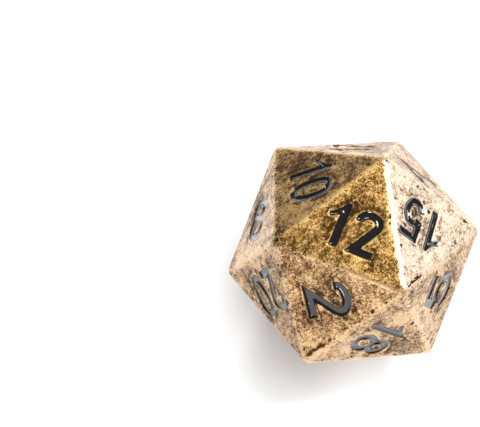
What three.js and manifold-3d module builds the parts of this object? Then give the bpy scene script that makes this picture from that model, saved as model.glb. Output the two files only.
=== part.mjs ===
// A twenty-sided gaming die: one cast metal icosahedron with rounded edges, a recessed
// numeral on every face, and a separate inlay of hard enamel in every digit.
// Millimetres, +Z up. The die stands on its 9 with the 12 on top, and the origin is the
// middle of the face that it stands on.
import * as THREE from 'three';
import { mergeVertices } from 'three/addons/utils/BufferGeometryUtils.js';
import Module from 'manifold-3d';

// ---- Driving dimensions, in millimetres and degrees ----
const ACROSS_FACES = 20; // between two opposite faces
const EDGE_RADIUS = 0.9; // rounding of every edge and corner
const EDGE_STEPS = 3; // flats across the rounding of one edge
const RECESS_DEPTH = 0.7; // numeral recesses, below their face
const ENAMEL_DROP = 0.15; // surface of the enamel, below the face
const ENAMEL_GAP = 0.05; // clearance round each inlay
const CUTTER_RISE = 0.5; // how far the cutting prisms stand above the face
const ARC_STEP = 15; // one chord of a round stretch of a digit
const BEND_STEPS = 6; // chords along a gently bent stretch

// Digits: a lone digit on its face is wider and bolder than one of a pair.
const LONE = { height: 4.6, stroke: 0.95, widths: { '*': 3.8, 6: 3.6, 9: 3.6, 1: 2.3 } };
const PAIR = { height: 4.5, stroke: 0.85, widths: { '*': 2.75, 1: 1.9, 5: 2.65, 6: 2.9, 8: 2.85 } };
const PAIR_GAP = 0.7; // between the two digits of a pair
const RAISE = 0.05; // middle of a numeral above the middle of its face
const MARK = { x: 0.6, y: 0.8, lean: 0.08, rise: 0.2, radius: 0.42 }; // tells 6 from 9

// Each face is named by its three corners, anticlockwise from outside. The numeral's top
// points at the first corner. Opposite faces add up to 21.
const FACES = [
  { number: '1', corners: 'LDG' },
  { number: '2', corners: 'AEC' },
  { number: '3', corners: 'KLJ' },
  { number: '4', corners: 'BCF' },
  { number: '5', corners: 'ABD' },
  { number: '6', corners: 'JFH' },
  { number: '7', corners: 'IDL' },
  { number: '8', corners: 'KHE' },
  { number: '9', corners: 'FJG' },
  { number: '10', corners: 'IKE', shift: -0.2 },
  { number: '11', corners: 'FGB' },
  { number: '12', corners: 'IEA', shift: -0.2 },
  { number: '13', corners: 'BGD' },
  { number: '14', corners: 'FCH' },
  { number: '15', corners: 'ADI', shift: 0.15 },
  { number: '16', corners: 'JHK', shift: 0.15 },
  { number: '17', corners: 'KIL' },
  { number: '18', corners: 'BAC', shift: 0.15 },
  { number: '19', corners: 'JLG' },
  { number: '20', corners: 'CEH', gap: 0.15 },
];

// ---- The icosahedron's corners ----
// With a face on top they lie on four levels, three corners to a level.
const GOLDEN = (1 + Math.sqrt(5)) / 2;
const INRADIUS = ACROSS_FACES / 2;
const EDGE = (2 * Math.sqrt(3) * INRADIUS) / GOLDEN ** 2;
const NARROW = EDGE / Math.sqrt(3);
const LEVELS = [
  { names: 'AIE', height: INRADIUS, reach: NARROW, turn: -90 },
  { names: 'DKC', height: INRADIUS / GOLDEN ** 3, reach: NARROW * GOLDEN, turn: -30 },
  { names: 'BLH', height: -INRADIUS / GOLDEN ** 3, reach: NARROW * GOLDEN, turn: -90 },
  { names: 'GJF', height: -INRADIUS, reach: NARROW, turn: -30 },
];

function makeCorners() {
  const corners = {};
  for (const { names, height, reach, turn } of LEVELS) {
    [...names].forEach((name, step) => {
      const angle = THREE.MathUtils.degToRad(turn + 120 * step);
      corners[name] = new THREE.Vector3(reach * Math.cos(angle), reach * Math.sin(angle), height);
    });
  }
  return corners;
}

const CORNERS = makeCorners();

function faceCentre({ corners }) {
  const centre = new THREE.Vector3();
  [...corners].forEach((name) => centre.add(CORNERS[name]));
  return centre.divideScalar(3);
}

// A face's own frame: X to the right of its numeral, Y to the numeral's top, Z outwards.
function faceFrame(face) {
  const centre = faceCentre(face);
  const outward = centre.clone().normalize();
  const up = CORNERS[face.corners[0]].clone().sub(centre).normalize();
  const right = up.clone().cross(outward);
  return new THREE.Matrix4().makeBasis(right, up, outward).setPosition(centre);
}

// ---- Solids for joining and cutting ----
const wasm = await Module();
wasm.setup();

function toSolid(geometry) {
  const bare = geometry.clone();
  bare.deleteAttribute('normal');
  bare.deleteAttribute('uv');
  const welded = mergeVertices(bare);
  const mesh = new wasm.Mesh({
    numProp: 3,
    vertProperties: new Float32Array(welded.attributes.position.array),
    triVerts: new Uint32Array(welded.index.array),
  });
  return new wasm.Manifold(mesh);
}

function toGeometry(solid) {
  const mesh = solid.getMesh();
  const geometry = new THREE.BufferGeometry();
  geometry.setAttribute('position', new THREE.BufferAttribute(mesh.vertProperties, 3));
  geometry.setIndex(new THREE.BufferAttribute(mesh.triVerts, 1));
  geometry.computeVertexNormals();
  return geometry;
}

// ---- The rounded icosahedron ----
// A smaller icosahedron grown outwards by the edge radius: flat faces, a strip of narrow
// flats along each edge, and a round cap on each corner.
function swing(from, to, part) {
  const angle = from.angleTo(to);
  if (angle === 0) return from.clone();
  const start = from.clone().multiplyScalar(Math.sin((1 - part) * angle));
  return start.addScaledVector(to, Math.sin(part * angle)).normalize();
}

function roundedIcosahedron() {
  const shrink = (INRADIUS - EDGE_RADIUS) / INRADIUS;
  const positions = [];

  function grown(name, direction) {
    return CORNERS[name].clone().multiplyScalar(shrink).addScaledVector(direction, EDGE_RADIUS);
  }

  function addTriangle(a, b, c) {
    const normal = b.clone().sub(a).cross(c.clone().sub(a));
    const order = normal.dot(a) > 0 ? [a, b, c] : [a, c, b];
    order.forEach((point) => positions.push(point.x, point.y, point.z));
  }

  function addFace(face) {
    const outward = faceCentre(face).normalize();
    addTriangle(...[...face.corners].map((name) => grown(name, outward)));
  }

  function addStrip(first, last, left, right) {
    for (let step = 0; step < EDGE_STEPS; step += 1) {
      const near = swing(left, right, step / EDGE_STEPS);
      const far = swing(left, right, (step + 1) / EDGE_STEPS);
      addTriangle(grown(first, near), grown(last, near), grown(last, far));
      addTriangle(grown(first, near), grown(last, far), grown(first, far));
    }
  }

  // One fifth of a corner's cap, in rows that widen from the tip to the edge's strip.
  function addCap(name, left, right) {
    const tip = CORNERS[name].clone().normalize();
    const place = (row, column) => {
      if (row === 0) return grown(name, tip);
      return grown(name, swing(tip, swing(left, right, column / row), row / EDGE_STEPS));
    };
    for (let row = 1; row <= EDGE_STEPS; row += 1) {
      for (let column = 0; column < row; column += 1) {
        addTriangle(place(row - 1, column), place(row, column), place(row, column + 1));
        if (column === 0) continue;
        addTriangle(place(row - 1, column - 1), place(row - 1, column), place(row, column));
      }
    }
  }

  FACES.forEach(addFace);
  FACES.forEach((face, index) => {
    FACES.slice(index + 1).forEach((other) => {
      const shared = [...face.corners].filter((name) => other.corners.includes(name));
      if (shared.length < 2) return;
      const left = faceCentre(face).normalize();
      const right = faceCentre(other).normalize();
      addStrip(...shared, left, right);
      shared.forEach((name) => addCap(name, left, right));
    });
  });
  const geometry = new THREE.BufferGeometry();
  geometry.setAttribute('position', new THREE.Float32BufferAttribute(positions, 3));
  return geometry;
}

// ---- Digits, as strokes of one width along a centreline ----
// A digit stands in a box: x from 0 to its width, y from 0 to its height. A stroke is open,
// with square ends, or it is a ring. A 1 is one closed outline instead.
function point(x, y) {
  return new THREE.Vector2(x, y);
}

function bow(x, y, rx, ry, from, to) {
  const steps = Math.ceil(Math.abs(to - from) / ARC_STEP);
  const start = THREE.MathUtils.degToRad(from);
  const end = THREE.MathUtils.degToRad(to);
  const curve = new THREE.EllipseCurve(x, y, rx, ry, start, end, to < from);
  return curve.getPoints(steps);
}

function bend(start, control, end) {
  return new THREE.QuadraticBezierCurve(start, control, end).getPoints(BEND_STEPS);
}

// A closed oval. A squareness over 2 makes its sides straighter than an ellipse's.
function oval(x, y, rx, ry, squareness = 2) {
  const steps = Math.round(360 / ARC_STEP);
  const push = (value) => Math.sign(value) * Math.abs(value) ** (2 / squareness);
  const points = [];
  for (let step = 0; step < steps; step += 1) {
    const angle = (2 * Math.PI * step) / steps;
    points.push(point(x + rx * push(Math.cos(angle)), y + ry * push(Math.sin(angle))));
  }
  return { kind: 'ring', points };
}

function open(...points) {
  return { kind: 'open', points: points.flat() };
}

function filled(...points) {
  return { kind: 'filled', points: points.flat() };
}

// Each digit gets its width w, its height h and half a stroke s.
const DIGITS = {
  0: (w, h, s) => [oval(w / 2, h / 2, w / 2 - s, h / 2 - s, 2.35)],
  // The flag sweeps down from the top of the stem to a blunt tip.
  1: (w, h, s) => [
    filled(
      point(w - 2 * s, 0),
      point(w, 0),
      point(w, h),
      bend(point(w - 1.25 * s, h), point(0.55 * w, 0.78 * h), point(0, 0.69 * h)),
      bend(point(0.1 * w, 0.58 * h), point(0.42 * w, 0.61 * h), point(w - 2 * s, 0.7 * h)),
    ),
  ],
  // The slant leaves the head so that its outer side runs into the lower left corner.
  2: (w, h, s) => {
    const head = bow(w / 2, h - 2.9 * s, w / 2 - s, 1.9 * s, 186, -27);
    const last = head.at(-1);
    const slope = Math.atan2(last.y, last.x) + Math.asin(s / last.length());
    const foot = point(last.x - (last.y - s) / Math.tan(slope), s);
    return [open(head, foot, point(w, s))];
  },
  3: (w, h, s) => {
    const waist = 0.53 * h;
    const top = (h - s - waist) / 2;
    const base = (waist - s) / 2;
    return [
      open(bow(w / 2, waist + top, 0.9 * (w / 2 - s), top, 180, -90)),
      open(bow(w / 2, s + base, w / 2 - s, base, 90, -180)),
      open(point(w / 2 - 0.7 * s, waist), point(w / 2 + 0.8 * s, waist)),
    ];
  },
  4: (w, h, s) => {
    const stem = 0.72 * w;
    const bar = 0.29 * h;
    return [
      open(point(stem, 0), point(stem, h)),
      open(point(w, bar), point(1.6 * s, bar), point(stem, h - 1.5 * s)),
    ];
  },
  5: (w, h, s) => {
    const bowl = 0.35 * h;
    return [
      open(point(0.96 * w, h - s), point(0.22 * w, h - s), point(1.05 * s, 0.45 * h)),
      open(bow(w / 2, bowl, w / 2 - s, bowl - s, 157, -164)),
    ];
  },
  6: (w, h, s) => {
    const bowl = 0.31 * h;
    const crown = 0.29 * h;
    return [
      oval(w / 2, bowl, w / 2 - s, bowl - s),
      open(bow(w / 2, h - crown, w / 2 - s, crown - s, -4, 180), point(s, bowl)),
    ];
  },
  7: (w, h, s) => [
    open(point(0, h - s), point(w, h - s)),
    open(bend(point(w - s, h - s), point(0.4 * w, 0.5 * h), point(0.4 * w, 0))),
  ],
  8: (w, h, s) => {
    const waist = 0.54 * h;
    const top = (h - s - waist) / 2;
    const base = (waist - s) / 2;
    return [oval(w / 2, h - s - top, 0.88 * (w / 2 - s), top), oval(w / 2, s + base, w / 2 - s, base)];
  },
};

// The 9 is the 6 upside down.
function digitStrokes(digit, w, h, s) {
  if (digit !== '9') return DIGITS[digit](w, h, s);
  const flip = (stroke) => ({ ...stroke, points: stroke.points.map((p) => point(w - p.x, h - p.y)) });
  return DIGITS[6](w, h, s).map(flip);
}

// A leaning drop with round ends, right of the foot of a 6 or a 9.
function markOutline(inset) {
  const radius = MARK.radius - inset;
  const shape = new THREE.Shape();
  const tilt = Math.atan2(MARK.lean, MARK.rise);
  shape.absarc(MARK.lean, MARK.rise, radius, -tilt, Math.PI - tilt, false);
  shape.absarc(-MARK.lean, -MARK.rise, radius, Math.PI - tilt, 2 * Math.PI - tilt, false);
  return shape;
}

// A point of a line moved to its left, by the mitre where two stretches meet.
function offsetPoint(before, at, after, distance) {
  const incoming = before && at.clone().sub(before).normalize();
  const outgoing = after && after.clone().sub(at).normalize();
  const first = incoming ?? outgoing;
  const second = outgoing ?? incoming;
  const side = point(-first.y - second.y, first.x + second.x).normalize();
  const mitre = side.y * first.x - side.x * first.y;
  return at.clone().addScaledVector(side, distance / mitre);
}

function offsetLine(points, distance, closed) {
  const count = points.length;
  return points.map((at, index) => {
    const before = closed ? points[(index + count - 1) % count] : points[index - 1];
    const after = closed ? points[(index + 1) % count] : points[index + 1];
    return offsetPoint(before, at, after, distance);
  });
}

function trimmed(points, inset) {
  const [head, neck] = points;
  const [throat, tail] = points.slice(-2);
  const from = neck.clone().sub(head).setLength(inset).add(head);
  const to = throat.clone().sub(tail).setLength(inset).add(tail);
  return [from, ...points.slice(1, -1), to];
}

function strokeOutline({ kind, points }, half, inset) {
  const reach = half - inset;
  if (kind === 'filled') return new THREE.Shape(offsetLine(points, inset, true));
  if (kind === 'ring') {
    const shape = new THREE.Shape(offsetLine(points, -reach, true));
    shape.holes.push(new THREE.Path(offsetLine(points, reach, true)));
    return shape;
  }
  const line = trimmed(points, inset);
  return new THREE.Shape([...offsetLine(line, -reach), ...offsetLine(line, reach).reverse()]);
}

// The outlines joined into one solid between two heights over the face.
function prism(outlines, bottom, top) {
  const settings = { depth: top - bottom, bevelEnabled: false, curveSegments: 6 };
  const solids = outlines.map((outline) => toSolid(new THREE.ExtrudeGeometry(outline, settings)));
  const whole = solids.reduce((sum, solid) => sum.add(solid));
  return toGeometry(whole).translate(0, 0, bottom);
}

// ---- The pieces of one numeral ----
// Where each digit of a face goes: the lower left corner of its box, in the face's frame.
function layOut(face) {
  const style = face.number.length === 1 ? LONE : PAIR;
  const widths = [...face.number].map((digit) => style.widths[digit] ?? style.widths['*']);
  const gap = face.gap ?? PAIR_GAP;
  const total = widths.reduce((sum, width) => sum + width) + gap * (widths.length - 1);
  let x = (face.shift ?? 0) - total / 2;
  return widths.map((width, index) => {
    const place = { digit: face.number[index], style, width, x, y: RAISE - style.height / 2 };
    x += width + gap;
    return place;
  });
}

const PLACE_NAMES = { 1: ['digit'], 2: ['tens', 'units'] };

// The inlays of a face, each with its name, its outlines for a given inset, and its corner.
function inlays(face) {
  const places = layOut(face);
  const pieces = places.map(({ digit, style, width, x, y }, index) => ({
    name: `enamel_${face.number}_${PLACE_NAMES[places.length][index]}`,
    x,
    y,
    outlines: (inset) => {
      const half = style.stroke / 2;
      const strokes = digitStrokes(digit, width, style.height, half);
      return strokes.map((stroke) => strokeOutline(stroke, half, inset));
    },
  }));
  if (face.number === '6' || face.number === '9') {
    const { x, y, width } = places[0];
    const mark = { x: x + width + MARK.x, y: y + MARK.y };
    pieces.push({ name: `enamel_${face.number}_mark`, ...mark, outlines: (inset) => [markOutline(inset)] });
  }
  return pieces;
}

// ---- The die ----
function dieBody() {
  let solid = toSolid(roundedIcosahedron());
  for (const face of FACES) {
    for (const { x, y, outlines } of inlays(face)) {
      const cutter = prism(outlines(0), -RECESS_DEPTH, CUTTER_RISE);
      cutter.translate(x, y, 0).applyMatrix4(faceFrame(face));
      solid = solid.subtract(toSolid(cutter));
    }
  }
  const metal = new THREE.MeshStandardMaterial({ color: 0x9c7a45, roughness: 0.42, metalness: 0.9 });
  const body = new THREE.Mesh(toGeometry(solid), metal);
  body.name = 'die_body';
  return body;
}

function faceInlays(face) {
  const group = new THREE.Group();
  faceFrame(face).decompose(group.position, group.quaternion, group.scale);
  for (const { name, x, y, outlines } of inlays(face)) {
    const geometry = prism(outlines(ENAMEL_GAP), ENAMEL_GAP - RECESS_DEPTH, -ENAMEL_DROP);
    const enamel = new THREE.MeshStandardMaterial({ color: 0x141416, roughness: 0.12, metalness: 0 });
    const inlay = new THREE.Mesh(geometry, enamel);
    inlay.name = name;
    inlay.position.set(x, y, 0);
    group.add(inlay);
  }
  return group;
}

const die = new THREE.Group();
die.name = 'polyhedral_die';
die.position.z = INRADIUS;
die.add(dieBody());
FACES.forEach((face) => die.add(faceInlays(face)));

export default die;
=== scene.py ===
import math
import random

import bmesh
import bpy
import numpy as np
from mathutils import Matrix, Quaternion, Vector, noise
from mathutils.geometry import delaunay_2d_cdt
from mathutils.kdtree import KDTree


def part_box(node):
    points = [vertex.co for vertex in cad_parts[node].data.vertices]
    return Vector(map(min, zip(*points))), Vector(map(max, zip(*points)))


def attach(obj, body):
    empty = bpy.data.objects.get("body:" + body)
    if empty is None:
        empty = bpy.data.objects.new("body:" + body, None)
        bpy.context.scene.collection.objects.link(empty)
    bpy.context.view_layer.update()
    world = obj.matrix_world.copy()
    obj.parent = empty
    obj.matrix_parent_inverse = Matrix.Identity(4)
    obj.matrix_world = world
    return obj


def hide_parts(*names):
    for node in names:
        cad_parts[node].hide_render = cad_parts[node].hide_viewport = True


# A cast metal twenty-sided die with enamel numerals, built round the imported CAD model.
# Lengths named _MM are millimetres in the row's frame. Blender's own are metres.
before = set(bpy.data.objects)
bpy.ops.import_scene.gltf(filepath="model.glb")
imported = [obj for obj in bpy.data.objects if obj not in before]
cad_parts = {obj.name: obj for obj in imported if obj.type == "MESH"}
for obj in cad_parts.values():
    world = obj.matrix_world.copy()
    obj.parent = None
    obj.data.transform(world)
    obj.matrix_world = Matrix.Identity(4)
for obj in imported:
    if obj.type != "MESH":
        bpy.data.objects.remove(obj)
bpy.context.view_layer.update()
MM = 0.001
SEED = 20

# ---- Driving values ----
VOXEL_MM = 0.088  # grain of the casting's fine mesh
SOFTEN_STEPS = 2  # smoothing passes, which round the lips of the recesses
BODY_TRIANGLES = 190_000
WAVES = ((3.5, 0.03), (1.1, 0.014), (0.45, 0.008))  # unevenness: size and height, in mm
SINK_MM = 0.03  # how far the whole skin lies inside the CAD's, so that no wave passes it
PIT_COUNT = 260
PIT_RADIUS_MM = (0.09, 0.2)
PIT_DEPTH_MM = (0.02, 0.06)
PIT_BAND_MM = (0.2, 0.7)  # every second pit lies this far from an edge
CREASE_STEP_MM = 0.07
CREASE_START_MM = 0.9  # from the sharp corner
CREASE_SWAY_MM = 0.06
CREASE_JITTER_MM = 0.03
CREASE_RADIUS_MM = (0.1, 0.15)
CREASE_DEPTH_MM = (0.04, 0.08)
ENAMEL_GAP_MM = 0.05  # the CAD inlay's clearance to its recess
LIP_MM = 0.1  # how far the wall of a recess slopes in, down to the enamel
LIP_DEPTH_MM = 0.15
ENAMEL_OVERLAP_MM = 0.03  # how far the enamel is let into the wall, so no slit shows
ENAMEL_GRID_MM = 0.06
ENAMEL_RINGS_MM = (0.03, 0.06, 0.09, 0.12)  # extra points beside the wall
RIM_MM = 0.08  # the enamel's edge, below the face
DISH_MM = 0.12  # how far its middle lies below its edge
DISH_REACH_MM = 0.32
RECESS_MM = 0.65  # bottom of the enamel, below the face
WALL_SPACING_MM = 0.06  # between the points along a recess's wall
FACE_ANGLE = math.radians(41.81)  # between the normals of two neighbouring faces

low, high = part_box("die_body")
CENTRE_MM = np.array((low + high) / 2) / MM
INRADIUS_MM = (high.z - low.z) / 2 / MM

# Creases: the corners of the edge beside which they run, their distance from it towards the
# edge's left seen from outside, and their length.
CREASES = (
    ((1, 210), (0, -90), -0.55, 3.2),
    ((0, -90), (1, -30), -0.35, 2.2),
)

# Faces with painted shade (darker and olive), and with painted sheen where the value is negative:
# azimuth and elevation they look towards, and how much. The top face and the face towards azimuth
# 180 get painted shade, the face towards azimuth 60 painted sheen.
PAINTED_FACE_SHADE_SHEEN = (
    ((0, 90), 1.0),
    ((180, 48), 0.8),
    ((60, 48), -0.6),
)
SHADE_SHEEN_BLEND_MM = 0.1  # how softly the painted shade and sheen of two faces run together

# The two faces between which the edge gets a painted highlight, standing in for the key light's
# glint.
HIGHLIGHT_EDGE = ((0, 90), (60, 48))
HIGHLIGHT_EDGE_AMOUNT = 1.8
HIGHLIGHT_EDGE_REACH_MM = 0.2


# ---- Meshes ----
def unique_rows(values, digits):
    rounded = np.round(values, digits)
    return np.unique(rounded, axis=0)


def mesh_arrays(mesh):
    """Vertices in mm, and triangles as rows of three indices."""
    points = np.empty(len(mesh.vertices) * 3)
    mesh.vertices.foreach_get("co", points)
    mesh.calc_loop_triangles()
    triangles = np.empty(len(mesh.loop_triangles) * 3, int)
    mesh.loop_triangles.foreach_get("vertices", triangles)
    return points.reshape(-1, 3) / MM, triangles.reshape(-1, 3)


def new_object(name, mesh):
    made = bpy.data.objects.new(name, mesh)
    bpy.context.scene.collection.objects.link(made)
    return made


def with_modifiers(name, mesh, *modifiers):
    """The mesh after the given modifiers, each a type and its settings."""
    carrier = new_object(name, mesh)
    for kind, settings in modifiers:
        modifier = carrier.modifiers.new(kind.lower(), kind)
        for key, value in settings.items():
            setattr(modifier, key, value)
    graph = bpy.context.evaluated_depsgraph_get()
    result = bpy.data.meshes.new_from_object(carrier.evaluated_get(graph))
    bpy.data.objects.remove(carrier)
    return result


def wobble(points_mm):
    """The casting's unevenness, which moves metal and enamel alike, along the radius."""
    moved = np.empty_like(points_mm)
    for index, point in enumerate(points_mm):
        outward = point - CENTRE_MM
        outward = outward / np.linalg.norm(outward)
        rise = sum(height * noise.noise(Vector(point / size)) for size, height in WAVES)
        moved[index] = point + outward * (rise - SINK_MM)
    return moved


# ---- Enamel ----
def top_normal(mesh):
    """Outward normal of a CAD inlay's upper side."""
    areas = {}
    for polygon in mesh.polygons:
        key = tuple(round(value, 3) for value in polygon.normal)
        areas[key] = areas.get(key, 0) + polygon.area
    middle = sum((vertex.co for vertex in mesh.vertices), Vector()) / len(mesh.vertices)
    outward = np.array(middle) / MM - CENTRE_MM
    facing = {key: area for key, area in areas.items() if np.dot(key, outward) > 0}
    return np.array(max(facing, key=facing.get)) / np.linalg.norm(max(facing, key=facing.get))


def plane_axes(normal):
    """Two unit vectors that lie in the face, at right angles."""
    aside = np.cross(normal, (0, 0, 1) if abs(normal[2]) < 0.9 else (0, 1, 0))
    aside /= np.linalg.norm(aside)
    return np.stack((aside, np.cross(normal, aside), normal))


def outline_loops(points, triangles, axes):
    """Loops of 2D points round the upper side of an inlay, anticlockwise when seen from outside."""
    flat = points @ axes.T
    top = flat[:, 2].max() - 0.01
    keys = {}
    joined = np.array([keys.setdefault(tuple(np.round(point, 3)), len(keys)) for point in flat])
    place = dict(zip(joined, flat))
    edges = set()
    for corners in triangles:
        if flat[corners, 2].min() < top:
            continue
        a, b, c = joined[corners]
        edges ^= {(a, b), (b, c), (c, a)}
    edges = {edge for edge in edges if edge[::-1] not in edges}
    following = dict(edges)
    loops = []
    while following:
        start, at = following.popitem()
        loop = [start]
        while at != start:
            loop.append(at)
            at = following.pop(at)
        loops.append(np.array([place[key][:2] for key in loop]))
    return loops


def without_straights(loop):
    """The loop's corners only."""
    before, after = np.roll(loop, 1, 0), np.roll(loop, -1, 0)
    first, second = loop - before, after - loop
    turn = np.abs(first[:, 0] * second[:, 1] - first[:, 1] * second[:, 0])
    return loop[turn > 1e-4]


def grown_loop(loop, distance):
    """The loop moved outwards by the mitre at each corner. Sides that vanish are dropped."""
    loop = without_straights(loop)
    ahead = np.roll(loop, -1, 0) - loop
    after = ahead / np.linalg.norm(ahead, axis=1)[:, None]
    before = np.roll(after, 1, 0)
    side = np.stack((before[:, 1] + after[:, 1], -before[:, 0] - after[:, 0]), 1)
    side /= np.linalg.norm(side, axis=1)[:, None]
    mitre = side[:, 0] * before[:, 1] - side[:, 1] * before[:, 0]
    grown = loop + side * (distance / mitre)[:, None]
    following = np.roll(grown, -1, 0)
    vanished = ((following - grown) * after).sum(1) < 0.25 * ENAMEL_GRID_MM
    grown[vanished] = (grown[vanished] + following[vanished]) / 2
    return grown[~np.roll(vanished, 1)]


def resampled(loop, spacing):
    """The loop with extra points, so that no stretch is longer than the spacing."""
    points = []
    for start, end in zip(loop, np.roll(loop, -1, 0)):
        steps = max(1, math.ceil(np.linalg.norm(end - start) / spacing))
        points += [start + (end - start) * step / steps for step in range(steps)]
    return np.array(points)


def edge_distance(points, loops):
    """Each 2D point's distance to the nearest side of the loops."""
    best = np.full(len(points), 1e9)
    for loop in loops:
        for start, end in zip(loop, np.roll(loop, -1, 0)):
            along = end - start
            part = np.clip((points - start) @ along / (along @ along), 0, 1)
            gap = np.linalg.norm(points - start - part[:, None] * along, axis=1)
            best = np.minimum(best, gap)
    return best


def inside(points, loops):
    """True for each 2D point that the loops enclose, holes left out."""
    crossings = np.zeros(len(points), int)
    for loop in loops:
        for (x0, y0), (x1, y1) in zip(loop, np.roll(loop, -1, 0)):
            if y0 == y1:
                continue
            level = (points[:, 1] >= min(y0, y1)) & (points[:, 1] < max(y0, y1))
            crossing = x0 + (points[:, 1] - y0) * (x1 - x0) / (y1 - y0)
            crossings += level & (points[:, 0] < crossing)
    return crossings % 2 == 1


def filled(points, loops):
    """Triangles over the area that the loops enclose. Loop points come first in the list."""
    edges, first = [], 0
    for loop in loops:
        edges += [(first + i, first + (i + 1) % len(loop)) for i in range(len(loop))]
        first += len(loop)
    cut = delaunay_2d_cdt([Vector(point) for point in points], edges, [], 0, 1e-7)
    assert len(cut[0]) == len(points), "outline points merged"
    triangles = np.array([list(face) for face in cut[2]])
    return triangles[inside(points[triangles].mean(1), loops)]


def inner_rings(corners):
    """Points on rings beside the wall, where the enamel curves most."""
    rings = []
    for distance in ENAMEL_RINGS_MM:
        for loop in corners:
            ring = resampled(grown_loop(loop, -distance), ENAMEL_GRID_MM)
            clear = edge_distance(ring, corners) > 0.95 * distance
            rings.append(ring[clear & inside(ring, corners)])
    return unique_rows(np.concatenate(rings), 3)


def enamel_level(depth):
    """Height over the face at a distance from the wall, always below 0: a shallow dish."""
    inwards = np.clip(depth / DISH_REACH_MM, 0, 1)
    return -RIM_MM - DISH_MM * (1 - (1 - inwards) ** 2)


def inner_grid(rim, corners):
    """Points of a plain grid, clear of the rings beside the wall."""
    steps = [np.arange(a, b, ENAMEL_GRID_MM) for a, b in zip(rim.min(0), rim.max(0))]
    grid = np.stack(np.meshgrid(*steps), -1).reshape(-1, 2)
    grid = grid[inside(grid, corners)]
    clear = ENAMEL_RINGS_MM[-1] + 0.5 * ENAMEL_GRID_MM
    return grid[edge_distance(grid, corners) > clear]


def side_faces(loops, base):
    """The strips between each loop of the rim and the same loop of the bottom."""
    faces, first = [], 0
    for loop in loops:
        for i in range(len(loop)):
            a, b = first + i, first + (i + 1) % len(loop)
            faces.append((b, a, base + a, base + b))
        first += len(loop)
    return faces


def enamel_solid(corners):
    """Points, faces, and the numbers of surface faces and rim points of a pool of enamel."""
    loops = [resampled(loop, ENAMEL_GRID_MM) for loop in corners]
    rim = np.concatenate(loops)
    surface = np.concatenate((rim, inner_rings(corners), inner_grid(rim, corners)))
    heights = INRADIUS_MM + enamel_level(edge_distance(surface, corners))
    top = np.column_stack((surface, heights))
    bottom = np.column_stack((rim, np.full(len(rim), INRADIUS_MM - RECESS_MM)))
    faces = [tuple(face) for face in filled(surface, loops)]
    count = len(faces)
    base = len(top)
    faces += side_faces(loops, base)
    faces += [tuple(base + corner for corner in face[::-1]) for face in filled(rim, loops)]
    return np.concatenate((top, bottom)), faces, count, len(rim)


def enamel_piece(node):
    """A pool of enamel with a dished, glossy surface, in place of a CAD inlay's plain block."""
    points, triangles = mesh_arrays(node.data)
    axes = plane_axes(top_normal(node.data))
    shape = outline_loops(points - CENTRE_MM, triangles, axes)
    grow = ENAMEL_GAP_MM - LIP_MM + ENAMEL_OVERLAP_MM
    local, faces, smooth, rim = enamel_solid([grown_loop(loop, grow) for loop in shape])
    mesh = bpy.data.meshes.new(f"{node.name}_fill")
    world = wobble(local @ axes + CENTRE_MM)
    mesh.from_pydata((world * MM).tolist(), [], faces)
    mesh.polygons.foreach_set("use_smooth", [index < smooth for index in range(len(faces))])
    mark_rim_sharp(mesh, rim)
    piece = new_object(f"{node.name}_fill", mesh)
    mesh.materials.append(ENAMEL)
    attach(piece, "root")
    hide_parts(node.name)
    return recess_outline(shape, axes)


def recess_outline(shape, axes):
    """Points along the top of a recess's wall, each with the direction out of the recess."""
    rows = []
    for loop in shape:
        wall = resampled(grown_loop(loop, ENAMEL_GAP_MM), WALL_SPACING_MM)
        along = np.roll(wall, -1, 0) - np.roll(wall, 1, 0)
        along /= np.linalg.norm(along, axis=1)[:, None]
        aside = np.column_stack((along[:, 1], -along[:, 0], np.zeros(len(wall))))
        place = np.column_stack((wall, np.full(len(wall), INRADIUS_MM)))
        rows.append(np.hstack((place @ axes + CENTRE_MM, aside @ axes)))
    return np.concatenate(rows)


def mark_rim_sharp(mesh, count):
    """The crease between the enamel's surface and its sides."""
    for edge in mesh.edges:
        a, b = edge.vertices
        edge.use_edge_sharp = a < count and b < count


# ---- The casting ----
def corner(name):
    """A corner of the sharp icosahedron, named by its level, from 0 on top, and its turn."""
    level, turn = name
    golden = (1 + math.sqrt(5)) / 2
    narrow = 2 * INRADIUS_MM / golden**2
    reach = narrow * (golden if level in (1, 2) else 1)
    height = INRADIUS_MM * (1, golden**-3, -(golden**-3), -1)[level]
    angle = math.radians(turn)
    return CENTRE_MM + np.array((reach * math.cos(angle), reach * math.sin(angle), height))


def crease_marks(start, end, inset, run, dice):
    """Dents of a wandering crease that starts near one corner and runs beside the edge."""
    along = (end - start) / np.linalg.norm(end - start)
    middle = (start + end) / 2 - CENTRE_MM
    aside = np.cross(along, middle / np.linalg.norm(middle))
    marks = []
    for step in range(int(run / CREASE_STEP_MM)):
        jitter = dice.uniform(-CREASE_JITTER_MM, CREASE_JITTER_MM)
        sway = CREASE_SWAY_MM * math.sin(step * 0.5) + jitter
        reach = CREASE_START_MM + step * CREASE_STEP_MM
        place = start + along * reach + aside * (inset + sway)
        outward = place - CENTRE_MM
        normal = NORMALS[np.argmax(NORMALS @ outward)]
        place = place - normal * (outward @ normal - INRADIUS_MM)
        marks.append((place, dice.uniform(*CREASE_RADIUS_MM), dice.uniform(*CREASE_DEPTH_MM)))
    return marks


def face_normals():
    """The twenty outward normals, read from the CAD body's largest triangles."""
    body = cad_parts["die_body"].data
    areas = {}
    for polygon in body.polygons:
        key = tuple(round(value, 2) for value in polygon.normal)
        total, normal = areas.get(key, (0, Vector()))
        areas[key] = (total + polygon.area, normal + polygon.normal * polygon.area)
    outer = {}
    for key, (total, normal) in areas.items():
        outer[key] = (total, normal.normalized())
    largest = sorted(outer.values(), key=lambda entry: -entry[0])[:20]
    return np.array([normal for _, normal in largest])


def float_attribute(mesh, name, values):
    attribute = mesh.attributes.new(name, "FLOAT", "POINT")
    attribute.data.foreach_set("value", np.asarray(values, np.float32))


def face_towards(towards):
    """The number of the face that looks towards an azimuth and elevation."""
    return np.argmax(NORMALS @ np.array(direction(*towards)))


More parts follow.
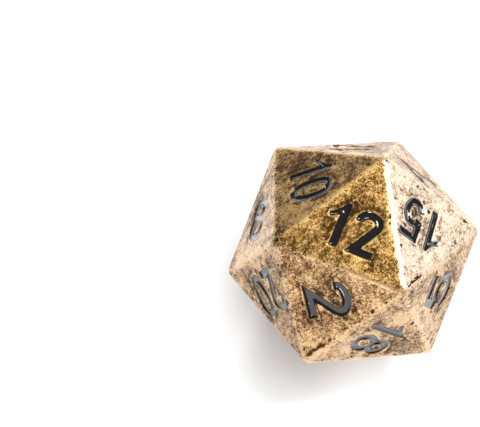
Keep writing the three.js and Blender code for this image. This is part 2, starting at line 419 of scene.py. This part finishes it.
def painted_shade_sheen(heights):
    """Each vertex's painted shade (negative for painted sheen), from its face's, running together
    over the edges, and lowered far along the edge that gets a painted highlight.
    """
    share = np.exp((heights - heights.max(axis=1)[:, None]) / SHADE_SHEEN_BLEND_MM)
    share /= share.sum(1)[:, None]
    amount = np.zeros(len(NORMALS))
    for towards, value in PAINTED_FACE_SHADE_SHEEN:
        amount[face_towards(towards)] = value
    # Along the edge between these two faces a painted highlight, which drives the value far below
    # zero.
    first, second = (face_towards(towards) for towards in HIGHLIGHT_EDGE)
    gap = 2 * INRADIUS_MM - heights[:, first] - heights[:, second]
    return share @ amount - HIGHLIGHT_EDGE_AMOUNT * np.exp(-((gap / HIGHLIGHT_EDGE_REACH_MM) ** 2))


def rough_casting(outlines):
    """The CAD body remeshed finely, with sloped recess walls and the unevenness of a casting."""
    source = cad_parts["die_body"].data.copy()
    source.transform(((1 / MM, 0, 0, 0), (0, 1 / MM, 0, 0), (0, 0, 1 / MM, 0), (0, 0, 0, 1)))
    welded = bmesh.new()
    welded.from_mesh(source)
    bmesh.ops.remove_doubles(welded, verts=welded.verts, dist=1e-4)
    welded.to_mesh(source)
    welded.free()
    fine = with_modifiers(
        "rough_casting",
        source,
        ("REMESH", {"mode": "VOXEL", "voxel_size": VOXEL_MM}),
        ("SMOOTH", {"factor": 0.5, "iterations": SOFTEN_STEPS}),
    )
    points = np.empty(len(fine.vertices) * 3)
    fine.vertices.foreach_get("co", points)
    points = sloped_walls(points.reshape(-1, 3), outlines)
    fine.vertices.foreach_set("co", (wobble(points) * MM).ravel())
    triangles = sum(len(polygon.vertices) - 2 for polygon in fine.polygons)
    share = min(1, BODY_TRIANGLES / triangles)
    return with_modifiers("casting", fine, ("DECIMATE", {"ratio": share}))


def surface_facts(mesh, points, outlines):
    """Store what the shader reads at every vertex, and return the depth of its hollow."""
    heights = (points - CENTRE_MM) @ NORMALS.T
    # Painted shade and sheen at every vertex, for the shader.
    float_attribute(mesh, "painted_shade_sheen", painted_shade_sheen(heights))
    heights.sort(axis=1)
    edge = (heights[:, -1] - heights[:, -2]) / math.sin(FACE_ANGLE)
    float_attribute(mesh, "edge_mm", edge)
    float_attribute(mesh, "recess_mm", nearest_outline(points, outlines)[1])
    hollow = hollows(points, edge)
    float_attribute(mesh, "hollow_mm", hollow)
    return hollow


def casting(outlines):
    """The die's metal, as one fine mesh with soft recess lips and hollows pressed in."""
    mesh = rough_casting(outlines)
    points, _ = mesh_arrays(mesh)
    hollow = surface_facts(mesh, points, outlines)
    outward = points - CENTRE_MM
    outward /= np.linalg.norm(outward, axis=1)[:, None]
    mesh.vertices.foreach_set("co", ((points - outward * hollow[:, None]) * MM).ravel())
    mesh.polygons.foreach_set("use_smooth", [True] * len(mesh.polygons))
    mesh.name = "die_casting"
    mesh.materials.clear()
    mesh.materials.append(METAL)
    piece = new_object("die_casting", mesh)
    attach(piece, "root")
    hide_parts("die_body")


def point_tree(points):
    tree = KDTree(len(points))
    for index, point in enumerate(points):
        tree.insert(point, index)
    tree.balance()
    return tree


def hollows(points, edge):
    """Depth of casting pits and of the creases beside two edges, at every vertex."""
    tree = point_tree(points)
    depth = np.zeros(len(points))
    dice = random.Random(SEED)
    inner, outer = PIT_BAND_MM
    anywhere = np.arange(len(points))
    beside_edge = np.flatnonzero((edge > inner) & (edge < outer))
    marks = []
    for count in range(PIT_COUNT):
        choices = beside_edge if count % 2 else anywhere
        where = choices[dice.randrange(len(choices))]
        marks.append((points[where], dice.uniform(*PIT_RADIUS_MM), dice.uniform(*PIT_DEPTH_MM)))
    for start, end, inset, run in CREASES:
        marks += crease_marks(corner(start), corner(end), inset, run, dice)
    for place, radius, deep in marks:
        for _, index, gap in tree.find_range(place, radius):
            depth[index] = max(depth[index], deep * (1 - (gap / radius) ** 2) ** 2)
    return depth


def nearest_outline(points, outlines):
    """For every point, the nearest outline row's number and its distance."""
    tree = point_tree(outlines[:, :3])
    found = [tree.find(point)[1:] for point in points]
    return np.array([index for index, _ in found]), np.array([gap for _, gap in found])


def sloped_walls(points, outlines):
    """Vertices of the recesses' walls moved in towards the enamel, more the deeper they lie."""
    depth = INRADIUS_MM - ((points - CENTRE_MM) @ NORMALS.T).max(axis=1)
    low = np.flatnonzero(depth > 0.01)
    nearest, _ = nearest_outline(points[low], outlines)
    row = outlines[nearest]
    aside = ((points[low] - row[:, :3]) * row[:, 3:]).sum(1)
    lean = np.clip(depth[low] / LIP_DEPTH_MM, 0, 1)
    lean = lean * lean * (3 - 2 * lean)
    near = np.clip((0.3 + aside) / 0.2, 0, 1) * (aside < 0.12)
    moved = points.copy()
    moved[low] -= row[:, 3:] * (LIP_MM * lean * near)[:, None]
    return moved


# ---- Materials ----
class Shader:
    """Short calls that add a material's nodes."""

    def __init__(self, name):
        self.material = bpy.data.materials.new(name)
        self.material.use_nodes = True
        self.tree = self.material.node_tree
        self.surface = self.tree.nodes["Principled BSDF"]

    def node(self, kind, inputs=(), **settings):
        made = self.tree.nodes.new(kind)
        for key, value in settings.items():
            setattr(made, key, value)
        for socket, value in dict(inputs).items():
            self.put(made.inputs[socket], value)
        return made

    def put(self, socket, value):
        if isinstance(value, bpy.types.NodeSocket):
            self.tree.links.new(value, socket)
        else:
            socket.default_value = value

    def math(self, operation, first, second=0.0, third=0.0, clamp=False):
        values = {0: first, 1: second, 2: third}
        return self.node("ShaderNodeMath", values, operation=operation, use_clamp=clamp).outputs[0]

    def remap(self, value, low, high, to_low=0.0, to_high=1.0):
        inputs = {"Value": value, "From Min": low, "From Max": high}
        inputs |= {"To Min": to_low, "To Max": to_high}
        return self.node("ShaderNodeMapRange", inputs, interpolation_type="SMOOTHSTEP").outputs[0]

    def noise(self, vector, scale, detail=3.0, roughness=0.6, distortion=0.0):
        inputs = {
            "Vector": vector,
            "Scale": scale,
            "Detail": detail,
            "Roughness": roughness,
            "Distortion": distortion,
        }
        return self.node("ShaderNodeTexNoise", inputs).outputs[0]

    def blend(self, factor, first, second, mode="MIX"):
        made = self.node("ShaderNodeMix", data_type="RGBA", blend_type=mode)
        for index, value in ((0, factor), (6, first), (7, second)):
            self.put(made.inputs[index], value)
        return made.outputs[2]

    def millimetres(self):
        place = self.node("ShaderNodeTexCoord").outputs["Object"]
        scaled = self.node("ShaderNodeVectorMath", {0: place, "Scale": 1 / MM}, operation="SCALE")
        return scaled.outputs[0]

    def streaks(self, place):
        """Fine noise drawn out lengthways, for scratches."""
        inputs = {0: place, 1: (0.5, 5.0, 4.0)}
        drawn = self.node("ShaderNodeVectorMath", inputs, operation="MULTIPLY").outputs[0]
        return self.noise(drawn, 1.3, 2.0, 0.6, 0.3)

    def bump(self, height, strength, distance):
        inputs = {"Strength": strength, "Distance": distance, "Height": height}
        return self.node("ShaderNodeBump", inputs).outputs[0]

    def attribute(self, name):
        return self.node("ShaderNodeAttribute", attribute_name=name).outputs["Fac"]


DARK = (0.034, 0.017, 0.007, 1)
MIDDLE = (0.18, 0.094, 0.033, 1)
BRIGHT = (0.42, 0.265, 0.125, 1)
RUBBED = (0.46, 0.31, 0.165, 1)
# Pale brass for the painted sheen on the face towards azimuth 60 and along the painted-highlight
# edge.
PAINTED_SHEEN = (0.52, 0.46, 0.38, 1)
# Near-white brass for the painted highlight along the edge between the top face and the face
# towards azimuth 60.
PAINTED_HIGHLIGHT = (0.74, 0.66, 0.53, 1)
# Olive darkening for the painted shade on the top face and the face towards azimuth 180.
PAINTED_SHADE_TINT = (1.0, 1.0, 0.72, 1)


def metal_height(shader, relief, blotch, place, edge, recess, shade_sheen):
    """How high and bright the skin is: noise, less in hollows and soot and on faces with painted
    shade, more on edges and lips and on faces with painted sheen.
    """
    cloud = shader.noise(place, 0.27, 2.0, 0.5)
    hollow = shader.remap(shader.attribute("hollow_mm"), 0.0, 0.03)
    scratches = shader.remap(shader.streaks(place), 0.6, 0.72)
    band = shader.remap(edge, 0.6, 0.1)
    lip = shader.remap(recess, 0.16, 0.05)
    soot = shader.remap(recess, 0.65, 0.25)
    soot = shader.math("MULTIPLY", soot, shader.remap(blotch, 0.62, 0.4))
    height = relief
    shares = (
        (blotch, 0.3),
        (cloud, 0.3),
        (band, 0.03),
        (lip, 0.12),
        (soot, -0.09),
        (hollow, -0.3),
        # Painted shade: lower on faces whose shade is painted, higher where sheen is painted.
        (shade_sheen, -0.035),
        (scratches, 0.05),
    )
    for part, share in shares:
        height = shader.math("MULTIPLY_ADD", part, share, height)
    return height


def metal_colour(shader, height, edge, shade_sheen, painted_shade):
    """Dark patina up to bright brass, then wear, painted sheen, painted olive shade and the painted
    highlight along one edge.
    """
    lower = shader.remap(height, 0.66, 0.79)
    upper = shader.remap(height, 0.75, 0.89)
    colour = shader.blend(lower, DARK, MIDDLE)
    colour = shader.blend(upper, colour, BRIGHT)
    wear = shader.math("MULTIPLY_ADD", height, -3.5, edge)
    wear = shader.remap(wear, -2.46, -2.76)
    colour = shader.blend(shader.math("MULTIPLY", wear, 0.85), colour, RUBBED)
    # Painted sheen where the value is negative: on the face towards azimuth 60 and along the
    # painted-highlight edge.
    sheen_share = shader.math("MULTIPLY", shade_sheen, -1.2, clamp=True)
    sheen_share = shader.math("MULTIPLY", sheen_share, shader.remap(height, 0.68, 0.88))
    colour = shader.blend(sheen_share, colour, PAINTED_SHEEN)
    # Painted shade: the top face and the face towards azimuth 180 multiplied darker and olive.
    olive = shader.blend(painted_shade, (1, 1, 1, 1), PAINTED_SHADE_TINT)
    colour = shader.blend(1.0, colour, olive, "MULTIPLY")
    # Painted highlight: near-white brass along that one edge.
    highlight_share = shader.math("MULTIPLY", shader.remap(shade_sheen, -0.6, -1.3), lower)
    return shader.blend(highlight_share, colour, PAINTED_HIGHLIGHT)


def metal_material():
    """Antique brass: a crinkled cast skin, dark in its hollows and rubbed bright on its heights."""
    shader = Shader("antique_brass")
    place = shader.millimetres()
    blotch = shader.noise(place, 0.95, 3.0, 0.6, 0.4)
    grain = shader.noise(place, 3.4, 4.0, 0.72, 0.6)
    fine = shader.noise(place, 8.0, 2.0, 0.6, 0.3)
    edge = shader.attribute("edge_mm")
    recess = shader.attribute("recess_mm")
    # Painted light per face: positive is painted shade on the top face and the face towards azimuth
    # 180, negative is painted sheen on the face towards azimuth 60 and a painted highlight along
    # the edge it shares with the top face.
    shade_sheen = shader.attribute("painted_shade_sheen")
    # Its positive part only: the painted shade.
    painted_shade = shader.math("MAXIMUM", shade_sheen, 0.0, clamp=True)

    relief = shader.math("MULTIPLY", grain, 0.6)
    relief = shader.math("MULTIPLY_ADD", fine, 0.4, relief)
    height = metal_height(shader, relief, blotch, place, edge, recess, shade_sheen)
    gloss = shader.remap(height, 0.7, 0.85, 0.05, 0.45)
    # Less coat on faces with painted shade.
    gloss = shader.math("MULTIPLY", gloss, shader.math("MULTIPLY_ADD", painted_shade, -0.7, 1.0))
    bump = shader.bump(relief, 1.0, 0.05 * MM)

    surface = shader.surface
    colour = metal_colour(shader, height, edge, shade_sheen, painted_shade)
    shader.put(surface.inputs["Base Color"], colour)
    shader.put(surface.inputs["Metallic"], 1.0)
    shader.put(surface.inputs["Roughness"], shader.remap(height, 0.7, 0.95, 0.6, 0.42))
    shader.put(surface.inputs["Normal"], bump)
    shader.put(surface.inputs["Coat Weight"], gloss)
    shader.put(surface.inputs["Coat Roughness"], 0.25)
    shader.put(surface.inputs["Coat IOR"], 1.5)
    shader.put(surface.inputs["Coat Normal"], bump)
    return shader.material


def enamel_material():
    """Hard black enamel with a wet gloss and the faintest unevenness."""
    shader = Shader("black_enamel")
    place = shader.millimetres()
    cloud = shader.noise(place, 1.6, 2.0, 0.5)
    colour = shader.blend(cloud, (0.004, 0.004, 0.005, 1), (0.009, 0.008, 0.008, 1))
    dust = shader.noise(place, 7.0, 2.0, 0.6)
    rough = shader.remap(dust, 0.3, 0.8, 0.03, 0.09)
    bump = shader.bump(cloud, 0.3, 0.03 * MM)
    surface = shader.surface
    shader.put(surface.inputs["Base Color"], colour)
    shader.put(surface.inputs["Roughness"], rough)
    shader.put(surface.inputs["Normal"], bump)
    shader.put(surface.inputs["IOR"], 1.5)
    return shader.material


def floor_material():
    """Matt white, very slightly uneven."""
    shader = Shader("white_floor")
    place = shader.millimetres()
    cloud = shader.noise(place, 0.002, 1.0, 0.5)
    colour = shader.blend(cloud, (0.86, 0.86, 0.86, 1), (0.88, 0.88, 0.88, 1))
    surface = shader.surface
    shader.put(surface.inputs["Base Color"], colour)
    shader.put(surface.inputs["Roughness"], 0.9)
    shader.put(surface.inputs["Specular IOR Level"], 0.1)
    return shader.material


# ---- Studio ----
FLOOR_REACH = 3.0
LENS_MM = 231.8
VIEW_FROM = (-42.25, 79.02)  # azimuth and elevation of the camera, seen from the die
VIEW_DISTANCE = 0.2983
VIEW_OFFSET = (-0.00646, 0.00939, 0.00095)  # from the die's centre to where the camera aims
VIEW_ROLL = -6.1


def direction(azimuth, elevation):
    """Unit vector from the die towards a place on the sky. Azimuth 0 is -Y, 90 is +X."""
    a, e = math.radians(azimuth), math.radians(elevation)
    return Vector((math.sin(a) * math.cos(e), -math.cos(a) * math.cos(e), math.sin(e)))


def add_softbox(name, azimuth, elevation, distance, size, power, glossy=True):
    """A rectangular lamp that faces the die. Without glossy, only matt surfaces see it."""
    data = bpy.data.lights.new(name, "AREA")
    data.shape = "RECTANGLE"
    data.size, data.size_y = size
    data.energy = power
    lamp = new_object(name, data)
    towards = direction(azimuth, elevation)
    lamp.location = Vector(CENTRE_MM) * MM + towards * distance
    lamp.rotation_euler = towards.to_track_quat("Z", "Y").to_euler()
    lamp.visible_camera = False
    lamp.visible_glossy = glossy


def add_sky():
    """A dim room, a little lighter near the horizon."""
    world = bpy.data.worlds.new("studio")
    bpy.context.scene.world = world
    world.use_nodes = True
    tree = world.node_tree
    place = tree.nodes.new("ShaderNodeTexCoord")
    split = tree.nodes.new("ShaderNodeSeparateXYZ")
    ramp = tree.nodes.new("ShaderNodeValToRGB")
    tree.links.new(place.outputs["Generated"], split.inputs[0])
    tree.links.new(split.outputs["Z"], ramp.inputs[0])
    tree.links.new(ramp.outputs[0], tree.nodes["Background"].inputs[0])
    ramp.color_ramp.elements[0].position = 0.0
    ramp.color_ramp.elements[0].color = (0.16, 0.16, 0.16, 1)
    ramp.color_ramp.elements[1].position = 0.5
    ramp.color_ramp.elements[1].color = (0.07, 0.07, 0.07, 1)
    tree.nodes["Background"].inputs[1].default_value = 1.0


def add_floor():
    mesh = bpy.data.meshes.new("floor")
    turns = ((-1, -1), (1, -1), (1, 1), (-1, 1))
    corners = [(x * FLOOR_REACH, y * FLOOR_REACH, 0) for x, y in turns]
    mesh.from_pydata(corners, [], [(0, 1, 2, 3)])
    mesh.materials.append(floor_material())
    new_object("floor", mesh)


def add_camera():
    """A long lens, nearly overhead. The die lies right of and below the middle of the picture."""
    data = bpy.data.cameras.new("camera")
    data.lens = LENS_MM
    data.sensor_width = 36
    data.clip_start, data.clip_end = 0.01, 20
    camera = new_object("camera", data)
    centre = Vector(CENTRE_MM) * MM
    camera.location = centre + direction(*VIEW_FROM) * VIEW_DISTANCE
    aim = centre + Vector(VIEW_OFFSET)
    roll = Quaternion((0, 0, 1), math.radians(VIEW_ROLL))
    camera.rotation_mode = "QUATERNION"
    camera.rotation_quaternion = (aim - camera.location).to_track_quat("-Z", "Y") @ roll
    bpy.context.scene.camera = camera


bpy.context.scene.view_settings.view_transform = "Standard"
NORMALS = face_normals()
METAL = metal_material()
ENAMEL = enamel_material()
inlays = sorted(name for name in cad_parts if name.startswith("enamel_"))
outlines = np.concatenate([enamel_piece(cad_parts[name]) for name in inlays])
casting(outlines)
add_floor()
add_sky()
# The overhead softbox makes the soft, short shadow. It is left out of glossy reflections, because
# there it would make the top face too bright.
add_softbox("overhead_softbox", 92, 70, 0.3, (0.28, 0.28), 1.12, glossy=False)
add_softbox("key_softbox", 88, 58, 0.3, (0.09, 0.09), 1.25)
add_softbox("window", 72, 28, 0.3, (0.09, 0.07), 0.42)
add_softbox("back_strip", 152, 40, 0.3, (0.09, 0.04), 0.3)
add_softbox("front_strip", -45, 36, 0.3, (0.09, 0.04), 0.42)
add_softbox("left_card", -64, 16, 0.4, (0.5, 0.24), 0.9)
add_camera()
